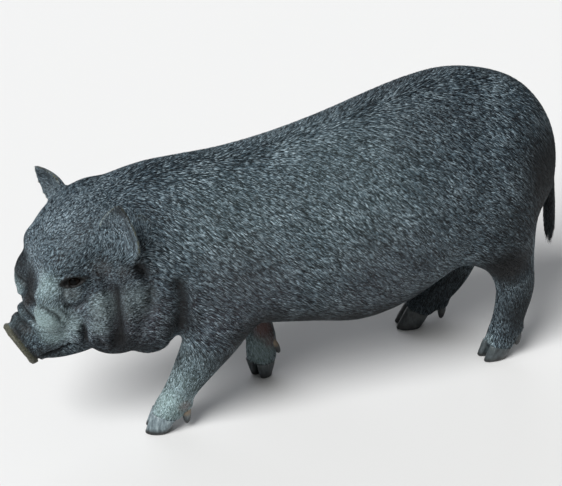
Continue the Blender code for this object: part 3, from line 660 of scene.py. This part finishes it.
def places_on_map(points, chart):
    """Where each point of the hide lies on the unwrap."""
    tree, corners, uv = chart
    faces = np.array([tree.find_nearest(p)[2] for p in points.tolist()])
    a, b, c = (corners[faces, i] for i in range(3))
    v0, v1, v2 = b - a, c - a, points - a
    d00, d01, d11 = (v0 * v0).sum(1), (v0 * v1).sum(1), (v1 * v1).sum(1)
    d20, d21 = (v2 * v0).sum(1), (v2 * v1).sum(1)
    size = d00 * d11 - d01 * d01 + 1e-20
    v = np.clip((d11 * d20 - d01 * d21) / size, 0, 1)
    w = np.clip((d00 * d21 - d01 * d20) / size, 0, 1 - v)
    u = 1 - v - w
    return u[:, None] * uv[faces, 0] + v[:, None] * uv[faces, 1] + w[:, None] * uv[faces, 2]


def scattered(skin, count, rng, density):
    """Random places on the skin, more of them where the density is high, with their normals and tones."""
    triangles = tree_of(skin)[1]
    points, normals = points_of(skin), normals_of(skin)
    a, b, c = (points[triangles[:, i]] for i in range(3))
    area = np.linalg.norm(np.cross(b - a, c - a), axis=1) * density[triangles].mean(axis=1)
    faces = rng.choice(len(triangles), count, p=area / area.sum())
    r, s = np.sqrt(rng.random(count)), rng.random(count)
    share = np.stack((1 - r, r * (1 - s), r * s), axis=1)
    corners = triangles[faces]
    spots = (points[corners] * share[:, :, None]).sum(axis=1)
    ways = (normals[corners] * share[:, :, None]).sum(axis=1)
    return spots, ways / np.linalg.norm(ways, axis=1, keepdims=True), tones_at(skin, corners, share)


# A tuft is a slim spike. Its heel lies behind the root by a share of its length, and under the skin. Its ridge lies
# ahead of the root, and stands up by a share of the width and of the lift.
HEEL_BEHIND, HEEL_SUNK = 0.12, 0.0005
RIDGE_AHEAD, RIDGE_OF_WIDTH, RIDGE_OF_LIFT = 0.28, 0.30, 0.35
TUFT_FACES = np.array([(0, 2, 1), (0, 3, 2), (1, 2, 3), (0, 1, 3)])
# Each corner's place along the tuft and round the root's place on the unwrap, and how far that place keeps off
# the edge of the unwrap
TUFT_REACH = (0.0, 0.0, 0.35, 1.0)
TUFT_ON_MAP = np.array(((-0.0013, -0.0013), (0.0013, -0.0013), (0.0, 0.0), (0.0, 0.0015)))
MAP_MARGIN = 0.002


def tufts(name, bristles, tones, chart, material):
    """One piece of the coat: a slim four-sided spike for each tuft, its root sunk in the skin."""
    root, normal, flow, side = (bristles[key] for key in ("root", "normal", "flow", "side"))
    length, width, lift = (bristles[key][:, None] for key in ("length", "width", "lift"))
    count = len(root)
    heel = root - flow * length * HEEL_BEHIND - normal * HEEL_SUNK
    ridge = root + flow * length * RIDGE_AHEAD + normal * (width * RIDGE_OF_WIDTH + length * lift * RIDGE_OF_LIFT)
    tip = root + flow * length + normal * length * lift
    corners = np.stack((heel + side * width / 2, heel - side * width / 2, ridge, tip), axis=1)
    mesh = bpy.data.meshes.new(name)
    mesh.vertices.add(count * 4)
    mesh.vertices.foreach_set("co", corners.astype(np.float32).ravel())
    index = (TUFT_FACES[None] + 4 * np.arange(count)[:, None, None]).reshape(-1)
    mesh.loops.add(len(index))
    mesh.loops.foreach_set("vertex_index", index.astype(np.int32))
    mesh.polygons.add(len(index) // 3)
    mesh.polygons.foreach_set("loop_start", np.arange(0, len(index), 3, dtype=np.int32))
    mesh.update(calc_edges=True)
    keep(mesh, {title: np.repeat(values, 4) for title, values in tones.items()})
    keep(mesh, {"light": np.repeat(bristles["light"], 4), "reach": np.tile(TUFT_REACH, count)})
    spots = np.clip(places_on_map(root, chart), MAP_MARGIN, 1 - MAP_MARGIN)
    uv = (spots[:, None, None] + TUFT_ON_MAP[TUFT_FACES][None]).reshape(-1)
    mesh.uv_layers.new(name="OFBake").data.foreach_set("uv", uv.astype(np.float32))
    obj = bpy.data.objects.new(name, mesh)
    bpy.context.scene.collection.objects.link(obj)
    mesh.materials.append(material)
    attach(obj, "root")


def sheathed_share(points):
    """1 where the skin lies inside a hoof or dewclaw, or faces down onto one, so that nothing grows there."""
    highest, around, under = 0.10, 0.002, 0.0006
    hidden = np.zeros(len(points))
    low = np.flatnonzero(points[:, 2] < highest)
    for name in HORNED:
        claw = merged_copy(name, 0.0)
        shaped(claw, "TRIANGULATE")
        tree = tree_of(claw)[0]
        bpy.data.objects.remove(claw)
        bottom, top = (np.array(corner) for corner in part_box(name))
        near = (points[low] > bottom - around) & (points[low] < top + around)
        for row in low[np.all(near, axis=1)].tolist():
            spot, way = tree.find_nearest(points[row].tolist())[:2]
            if (points[row] - np.array(spot)) @ np.array(way) < under:
                hidden[row] = 1.0
    return hidden


SEED = 20
COAT_COUNT = 330000
MOST_IN_A_PIECE = 48000
# The coat's pieces along the trunk, with the place where each ends; the hams lie behind them
TRUNK_ENDS = {"neck": -0.13, "shoulders": -0.03, "ribs": 0.09, "loins": 0.22}
COAT_PIECES = ("face", *TRUNK_ENDS, "hams", "legs")

# Length of the bristles, and the random share of it that each gets
LENGTH = {"trunk": 0.0100, "head": 0.0050, "legs": 0.0060, "ears": 0.0038, "tail": 0.009}
SHORTER_ON_SNOUT = 0.0024
LONGER_IN_BRUSH = 0.013
LENGTH_SPREAD = (0.70, 1.20)
# Width, as a share of the length between two limits. Drawn coarser than life: a real bristle is much thinner
# than one pixel of the picture, and there are far more of them.
WIDTH_OF_LENGTH, LEAST_WIDTH, MOST_WIDTH = 0.10, 0.00075, 0.0010
WIDTH_SPREAD = (0.8, 1.25)
# How bright a bristle is: those above this random share shine with painted sheen, a pale colour that stands for the
# gloss of black bristles, and the others are dull
SHINE_ABOVE = 0.56
SHINING, DULL = (0.56, 0.88), (0.00, 0.36)


def coat(skin, material):
    """Lays the bristles over the whole skin, in pieces from the face to the legs."""
    rng = np.random.default_rng(SEED)
    chart = unwrapped(skin)
    points = points_of(skin)
    density = 1.0 + 1.2 * head_share(points) + 0.9 * leg_share(points) + 0.9 * ear_share(points)[0]
    density *= (1 - smooth(bare_share(points) * 1.6)) * (1 - sheathed_share(points))
    lid_and_shade = np.empty(len(points), np.float32)
    skin.data.attributes["lid_and_shade"].data.foreach_get("value", lid_and_shade)
    density *= 1 - smooth((lid_and_shade - 0.5) / 0.4)
    count = COAT_COUNT
    root, normal, tones = scattered(skin, count, rng, density)
    flow, side = lie(root, normal, rng)
    place = root - ORIGIN
    head, legs, ears, tail = tones["headward"], tones["legward"], ear_share(root)[0], tail_share(root)
    snout = smooth((-0.345 - place[:, 1]) / 0.04) * head
    brush = smooth((0.19 - place[:, 2]) / 0.03)
    shining = rng.random(len(root)) > SHINE_ABOVE
    length = LENGTH["trunk"] * (1 - head) + (LENGTH["head"] - SHORTER_ON_SNOUT * snout) * head
    length = length * (1 - legs) + LENGTH["legs"] * legs
    length = length * (1 - ears) + LENGTH["ears"] * ears
    length = length * (1 - tail) + (LENGTH["tail"] + LONGER_IN_BRUSH * brush) * tail
    length *= rng.uniform(*LENGTH_SPREAD, len(root)) * (1 - 0.6 * np.maximum(tones["fold"], tones["lid_and_shade"]))
    width = np.clip(length * WIDTH_OF_LENGTH, LEAST_WIDTH, MOST_WIDTH) * (1 - 0.35 * snout)
    width = width * rng.uniform(*WIDTH_SPREAD, len(root))
    width *= 1 - 0.18 * shining
    # The bristles lie almost flat, and stand up a little along the crest of the back and over the hooves
    lift = 0.05 + 0.04 * rng.random(len(root)) + 0.02 * head
    lift += 0.05 * smooth((place[:, 2] - 0.36) / 0.03) * smooth((0.02 - np.abs(place[:, 0])) / 0.015)
    lift += 0.10 * legs * smooth((0.048 - place[:, 2]) / 0.014)
    lift += 0.02 * shining
    # High on the back the dull bristles are lighter and the shining ones a little darker
    light = np.where(shining, rng.uniform(*SHINING, len(root)), rng.uniform(*DULL, len(root)))
    light += 0.06 * swirl(root, 90, 8) + np.where(shining, -0.04, 0.10) * smooth((place[:, 2] - 0.29) / 0.10)
    bristles = {"root": root, "normal": normal, "flow": flow, "side": side, "length": length, "width": width,
                "lift": lift, "light": np.clip(light, 0, 1)}
    belongs = np.select([legs > 0.5, head > 0.5] + [place[:, 1] < end for end in TRUNK_ENDS.values()],
                        ["legs", "face", *TRUNK_ENDS], "hams")
    for title in COAT_PIECES:
        mine = np.flatnonzero(belongs == title)
        for part, rows in enumerate(np.array_split(mine, max(1, math.ceil(len(mine) / MOST_IN_A_PIECE)))):
            tufts(f"coat_{title}_{part + 1}", {key: values[rows] for key, values in bristles.items()},
                  {key: values[rows] for key, values in tones.items()}, chart, material)


# How far the horn of each foot is scuffed pale above its dark edge: partly wear, partly painted light, palest on the
# lit front left foot and darkest on the hind right, in shade
HORN_SCUFFS_AND_LIGHT = {"front_left": 0.90, "front_right": 0.15, "hind_left": 0.22, "hind_right": 0.10}
HOOF_VOXEL, DEWCLAW_VOXEL = 0.0012, 0.0009
# Growth rings: their spacing and height, and the height of the fine roughness between them
RING_SPACING, RING_HEIGHT, HORN_ROUGHNESS = 0.0031, 0.00013, 0.00010


def horn(name, material):
    """A hoof or dewclaw: its CAD form fused finely, with growth rings round it."""
    dew = name.startswith("dewclaw")
    obj = merged_copy(name, 0.0)
    obj.name = obj.data.name = name + "_horn"
    shaped(obj, "REMESH", mode="VOXEL", voxel_size=DEWCLAW_VOXEL if dew else HOOF_VOXEL)
    shaped(obj, "SMOOTH", factor=0.5, iterations=8)
    points, normals = points_of(obj), normals_of(obj)
    low, high = points.min(axis=0), points.max(axis=0)
    height = (points[:, 2] - low[2]) / (high[2] - low[2])
    rings = np.sin(points[:, 2] * 2 * math.pi / RING_SPACING + 2.0 * swirl(points, 130, 11) + 60 * points[:, 1])
    push = RING_HEIGHT * rings * smooth(height / 0.2) + HORN_ROUGHNESS * swirl(points, 700, 12)
    points += normals * push[:, None]
    points[:, 2] = np.maximum(points[:, 2], low[2] if dew else 0.0)
    set_points(obj, points)
    # Scuffing with painted light, half as much on a dewclaw
    scuff_and_light = HORN_SCUFFS_AND_LIGHT["_".join(name.split("_")[1:3])] * (0.5 if dew else 1.0)
    keep(obj.data, {"rise": height, "scuff_and_light": np.full(len(points), scuff_and_light),
                    "tan": smooth((height - 0.30) / 0.22) * (dew and "front" in name)})
    shaded_smooth(obj)
    obj.data.materials.append(material)
    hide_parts(name)
    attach(obj, "root")


# The cornea bulges by this share of the eye's radius, and ends at this angle from the gaze
CORNEA_BULGE, CORNEA_ANGLE = 0.045, 38


def eyeball(side, material):
    """A whole eyeball with a bulged cornea, looking out and a little forward."""
    obj, centre = ball(side, 64, 40)
    obj.name = obj.data.name = f"eyeball_{side}"
    bpy.ops.object.transform_apply(location=True, rotation=True, scale=True)
    gaze = unit(np.array((SIDES[side] * 0.84, -0.50, 0.10)))
    points = points_of(obj)
    local = points - centre
    angle = np.degrees(np.arccos(np.clip(local @ gaze / np.linalg.norm(local, axis=1), -1, 1)))
    points += local * (CORNEA_BULGE * smooth((CORNEA_ANGLE - angle) / 22))[:, None]
    set_points(obj, points)
    keep(obj.data, {"from_gaze": angle / 90})
    bpy.ops.object.shade_smooth()
    obj.data.materials.append(material)
    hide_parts("eye_" + side)
    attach(obj, "root")


def fill(tree, node, inputs):
    """Sets the inputs of a node: a value is set, and a (node, output) pair is linked."""
    for key, value in inputs.items():
        if isinstance(value, tuple) and len(value) == 2 and hasattr(value[0], "outputs"):
            tree.links.new(value[0].outputs[value[1]], node.inputs[key])
        else:
            node.inputs[key].default_value = value


def add(tree, kind, inputs=None, **settings):
    """Adds a node with its settings and inputs."""
    node = tree.nodes.new(kind)
    for key, value in settings.items():
        setattr(node, key, value)
    fill(tree, node, inputs or {})
    return node


# The helpers from here to streaks give back a (node, output) pair, which an input of another node takes

def kept(tree, name):
    """One of the values kept on the mesh."""
    return add(tree, "ShaderNodeAttribute", attribute_name=name), "Fac"


def reckoned(tree, operation, *values):
    """Arithmetic on numbers."""
    return add(tree, "ShaderNodeMath", dict(enumerate(values)), operation=operation), 0


def mixed(tree, share, first, second, kind="RGBA", blend="MIX"):
    """A mix of two colours, or of two numbers where kind is FLOAT. The mix node has other sockets for each."""
    a, b, result = {"FLOAT": (2, 3, 0), "RGBA": (6, 7, 2)}[kind]
    return add(tree, "ShaderNodeMix", {"Factor": share, a: first, b: second}, data_type=kind,
               blend_type=blend), result


def ramp(tree, source, stops):
    """A colour ramp from a list of (place, hex colour)."""
    node = add(tree, "ShaderNodeValToRGB", {"Fac": source})
    while len(node.color_ramp.elements) < len(stops):
        node.color_ramp.elements.new(0.5)
    for element, (place, code) in zip(node.color_ramp.elements, stops):
        element.position = place
        element.color = linear(code)
    return node, 0


def noise(tree, place, scale, **inputs):
    """Noise with this many cells to each unit of its place."""
    return add(tree, "ShaderNodeTexNoise", {"Vector": place, "Scale": scale, **inputs}), 0


def place_on_object(tree):
    return add(tree, "ShaderNodeTexCoord"), "Object"


def toned(tree, colour, name, code, strength):
    """Mixes a tone into a colour where the hide keeps it."""
    return mixed(tree, reckoned(tree, "MULTIPLY", kept(tree, name), strength), colour, linear(code))


def streaks(tree, turn, across, along):
    """Lines of bristles: noise drawn out along their lie, at a turn in degrees, with its spacing and length."""
    turned = add(tree, "ShaderNodeMapping", {"Vector": place_on_object(tree), "Rotation": (math.radians(turn), 0, 0)})
    drawn = add(tree, "ShaderNodeMapping", {"Vector": (turned, 0), "Scale": (1 / across, 1 / along, 1 / across)})
    return noise(tree, (drawn, 0), 1.0, Detail=3.0, Roughness=0.6)


def blank(name):
    """A material with an empty node tree but for its shader and output."""
    material = bpy.data.materials.new(name)
    material.use_nodes = True
    tree = material.node_tree
    return material, tree, tree.nodes["Principled BSDF"]


# The markings that skin and coat share, painted light and painted shade among them: the kept value, the colour, and
# how much of it shows where the value is 1
MARKINGS = (
    # The pale one is mostly painted light. The deep one is painted shade and darkens the tail; the fold one is
    # painted shade in the folds, and the lid one paints the lids and the shade round the eye near-black.
    ("lit_and_pale", "9cb4ac", 0.24),
    ("warm", "4b4148", 0.45),
    ("brown", "4c4038", 0.60),
    ("olive", "6f6c4a", 0.78),
    ("pink", "8a5f58", 0.75),
    ("deep", "040508", 0.92),
    ("fold", "050608", 0.95),
    ("lid_and_shade", "030303", 1.0),
)
# Grains in cells to a metre: on the naked disc they are 1.1 mm wide. The skin's fine relief has cells of 1.6 mm,
# drawn coarser than life so that it isn't lost in the picture.
DISC_GRAIN, RELIEF = 900.0, 620.0
# Horn: fibres 4 mm wide and 14 mm long, coarser than life for the same reason, and blotches of 11 mm
FIBRES, BLOTCHES = (260.0, 260.0, 70.0), 95.0
# The speckle of the eye, 0.7 mm
SPECKLE = 1400.0


# Mixes every marking into a colour: tones of the hide, painted light and painted shade
def tones_light_and_shade(tree, colour):
    for name, code, strength in MARKINGS:
        colour = toned(tree, colour, name, code, strength)
    return colour


def skin_material():
    """Pig's skin under a thin flat coat. The eye gets dark slate, a fine relief, and streaks of the bristles on it,
    with painted light and painted shade in the colour.

    The streaks are 1.5 to 1.9 mm apart, coarser than single bristles, which are thinner than a pixel.
    """
    material, tree, shader = blank("pig_skin_bristled")
    trunk = streaks(tree, 31, 0.0019, 0.0105)
    face = streaks(tree, -52, 0.0015, 0.0055)
    shin = streaks(tree, 80, 0.0016, 0.0070)
    lines = mixed(tree, kept(tree, "headward"), trunk, face, "FLOAT")
    lines = mixed(tree, kept(tree, "legward"), lines, shin, "FLOAT")
    # The pale share lifts the streaks: mostly painted light, partly paler skin
    lit_and_paler = reckoned(tree, "MULTIPLY_ADD", kept(tree, "lit_and_pale"), 0.09, lines)
    base = ramp(tree, lit_and_paler, [(0.32, "07090c"), (0.47, "161e24"), (0.57, "44545d"), (0.70, "8ea1aa")])
    place = place_on_object(tree)
    grain = noise(tree, place, DISC_GRAIN, Detail=4.0)
    disc = ramp(tree, grain, [(0.32, "1b1c18"), (0.50, "3e3f36"), (0.70, "6b6a58")])
    colour = mixed(tree, kept(tree, "bare"), tones_light_and_shade(tree, base), disc)
    relief = add(tree, "ShaderNodeTexVoronoi", {"Vector": place, "Scale": RELIEF})
    fine = add(tree, "ShaderNodeBump", {"Strength": 0.35, "Distance": 0.0005, "Height": (relief, 0)})
    bump = add(tree, "ShaderNodeBump", {"Strength": 0.55, "Distance": 0.0009, "Height": lines, "Normal": (fine, 0)})
    fill(tree, shader, {"Base Color": colour, "Normal": (bump, 0), "Roughness": 0.58, "IOR": 1.42,
                        "Specular IOR Level": 0.35})
    return material


def bristle_material():
    """Pig bristle. The eye gets stiff black to slate hair, some of it bright with painted sheen, paler to the tip,
    faintly glossy, with painted light and painted shade from the hide.
    """
    material, tree, shader = blank("pig_bristle")
    tipped = reckoned(tree, "MULTIPLY_ADD", kept(tree, "reach"), 0.16, kept(tree, "light"))
    # The pale share brightens the bristles: mostly painted light
    tipped = reckoned(tree, "MULTIPLY_ADD", kept(tree, "lit_and_pale"), 0.22, tipped)
    base = ramp(tree, tipped, [(0.06, "06090c"), (0.46, "171f27"), (0.68, "4e616d"), (1.00, "bccfd8")])
    fill(tree, shader, {"Base Color": tones_light_and_shade(tree, base), "Roughness": 0.50, "IOR": 1.5,
                        "Specular IOR Level": 0.30})
    return material


def horn_material():
    """Hoof horn. The eye gets dark slate keratin, ringed and rather matt, scuffed pale above its dark edge, partly
    with painted light.
    """
    material, tree, shader = blank("hoof_horn")
    place = place_on_object(tree)
    drawn = add(tree, "ShaderNodeMapping", {"Vector": place, "Scale": FIBRES})
    fibres = noise(tree, (drawn, 0), 1.0, Detail=5.0, Roughness=0.65)
    rise = kept(tree, "rise")
    base = ramp(tree, fibres, [(0.30, "07080a"), (0.50, "131718"), (0.70, "343a3b")])
    # Pale blotches: partly painted highlights on the horn
    lit_and_pale = ramp(tree, noise(tree, place, BLOTCHES, Detail=3.0), [(0.52, "101314"), (0.70, "5c6463")])
    top = ramp(tree, rise, [(0.05, "0b0d0e"), (0.30, "0f1213"), (0.80, "181c1e"), (0.97, "454c4c")])
    colour = mixed(tree, 0.45, mixed(tree, 0.40, base, lit_and_pale), top)
    # Above the dark edge the horn is rubbed pale by its scuff share, which also carries painted light
    above_edge = add(tree, "ShaderNodeMapRange", {"Value": rise, "From Min": 0.14, "From Max": 0.36})
    share = reckoned(tree, "MULTIPLY", (above_edge, 0), kept(tree, "scuff_and_light"))
    rubbed_and_lit = ramp(tree, fibres, [(0.34, "3c474b"), (0.52, "66747a"), (0.68, "8d9b9f")])
    colour = toned(tree, mixed(tree, share, colour, rubbed_and_lit), "tan", "7d6c55", 0.75)
    bump = add(tree, "ShaderNodeBump", {"Strength": 0.5, "Distance": 0.0004, "Height": fibres})
    fill(tree, shader, {"Base Color": colour, "Normal": (bump, 0), "Roughness": 0.44})
    return material


def eye_material():
    """A pig's wet eye. A viewer gets a near-black ball: pupil, iris and white are very dark, with a faint gloss."""
    material, tree, shader = blank("wet_eye")
    base = ramp(tree, kept(tree, "from_gaze"), [(0.26, "020202"), (0.30, "0f0a07"), (0.55, "140d09"),
                                                (0.62, "050404"), (0.75, "080605"), (0.95, "120d0b")])
    speckle = noise(tree, place_on_object(tree), SPECKLE, Detail=4.0)
    fill(tree, shader, {"Base Color": mixed(tree, 0.25, base, speckle, blend="MULTIPLY"), "Roughness": 0.25,
                        "Specular IOR Level": 0.05, "Coat Weight": 0.08, "Coat Roughness": 0.03})
    return material


# The floor lies a hair below the soles, so that the two don't flicker
FLOOR_SIZE, FLOOR_BELOW = 9.0, 0.0004
# Lamps: where each shines from, its softness in degrees, its power and its colour. All shine towards the middle.
MIDDLE = (0.0, 0.0, 0.22)
LAMPS = {
    "key_from_the_head_side": ((1.1, -1.9, 2.3), 34.0, 4.3, "ffffff"),
    "fill_from_the_far_side": ((-2.2, 0.1, 1.3), 60.0, 0.9, "f4f7ff"),
}
ROOM_COLOUR, ROOM_LIGHT = "f1f3f4", 0.20
# The camera's place, the point it looks at, and its sensor and lens in millimetres
CAMERA_PLACE, CAMERA_TARGET = (2.1120, -0.9641, 1.4640), (-0.0255, -0.0121, 0.2200)
SENSOR_WIDTH, LENS, CAMERA_SEES = 36.0, 116.94, 50.0


def floor():
    """A plain pale floor. The eye gets matt white board."""
    bpy.ops.object.select_all(action="DESELECT")
    bpy.ops.mesh.primitive_plane_add(size=FLOOR_SIZE, location=(0, 0, -FLOOR_BELOW))
    obj = bpy.context.object
    obj.name = obj.data.name = "studio_floor"
    material, tree, shader = blank("matt_white_floor")
    fill(tree, shader, {"Base Color": linear("dededd"), "Roughness": 0.9})
    obj.data.materials.append(material)


def placed(name, data, place, target):
    """A lamp or camera at a place, turned towards a target."""
    obj = bpy.data.objects.new(name, data)
    obj.location = place
    obj.rotation_euler = (Vector(target) - Vector(place)).to_track_quat("-Z", "Y").to_euler()
    bpy.context.scene.collection.objects.link(obj)
    return obj


def studio():
    """A soft key light from the head's side, a weak fill from the far side, a pale room, the photograph's view."""
    floor()
    for name, (place, spread, power, code) in LAMPS.items():
        lamp = bpy.data.lights.new(name, "SUN")
        lamp.angle = math.radians(spread)
        lamp.energy = power
        lamp.color = linear(code)[:3]
        placed(name, lamp, place, MIDDLE)
    scene = bpy.context.scene
    scene.view_settings.view_transform = "Standard"
    scene.world = bpy.data.worlds.new("pale_room")
    scene.world.use_nodes = True
    room = scene.world.node_tree
    fill(room, room.nodes["Background"], {"Color": linear(ROOM_COLOUR), "Strength": ROOM_LIGHT})
    data = bpy.data.cameras.new("camera")
    data.sensor_width = SENSOR_WIDTH
    data.lens = LENS
    data.clip_end = CAMERA_SEES
    scene.camera = placed("camera", data, CAMERA_PLACE, CAMERA_TARGET)


def main():
    studio()
    skin = hide()
    mark(skin)
    skin.data.materials.clear()
    skin.data.materials.append(skin_material())
    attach(skin, "root")
    coat(skin, bristle_material())
    horned = horn_material()
    for name in HORNED:
        horn(name, horned)
    wet = eye_material()
    for side in SIDES:
        eyeball(side, wet)


main()
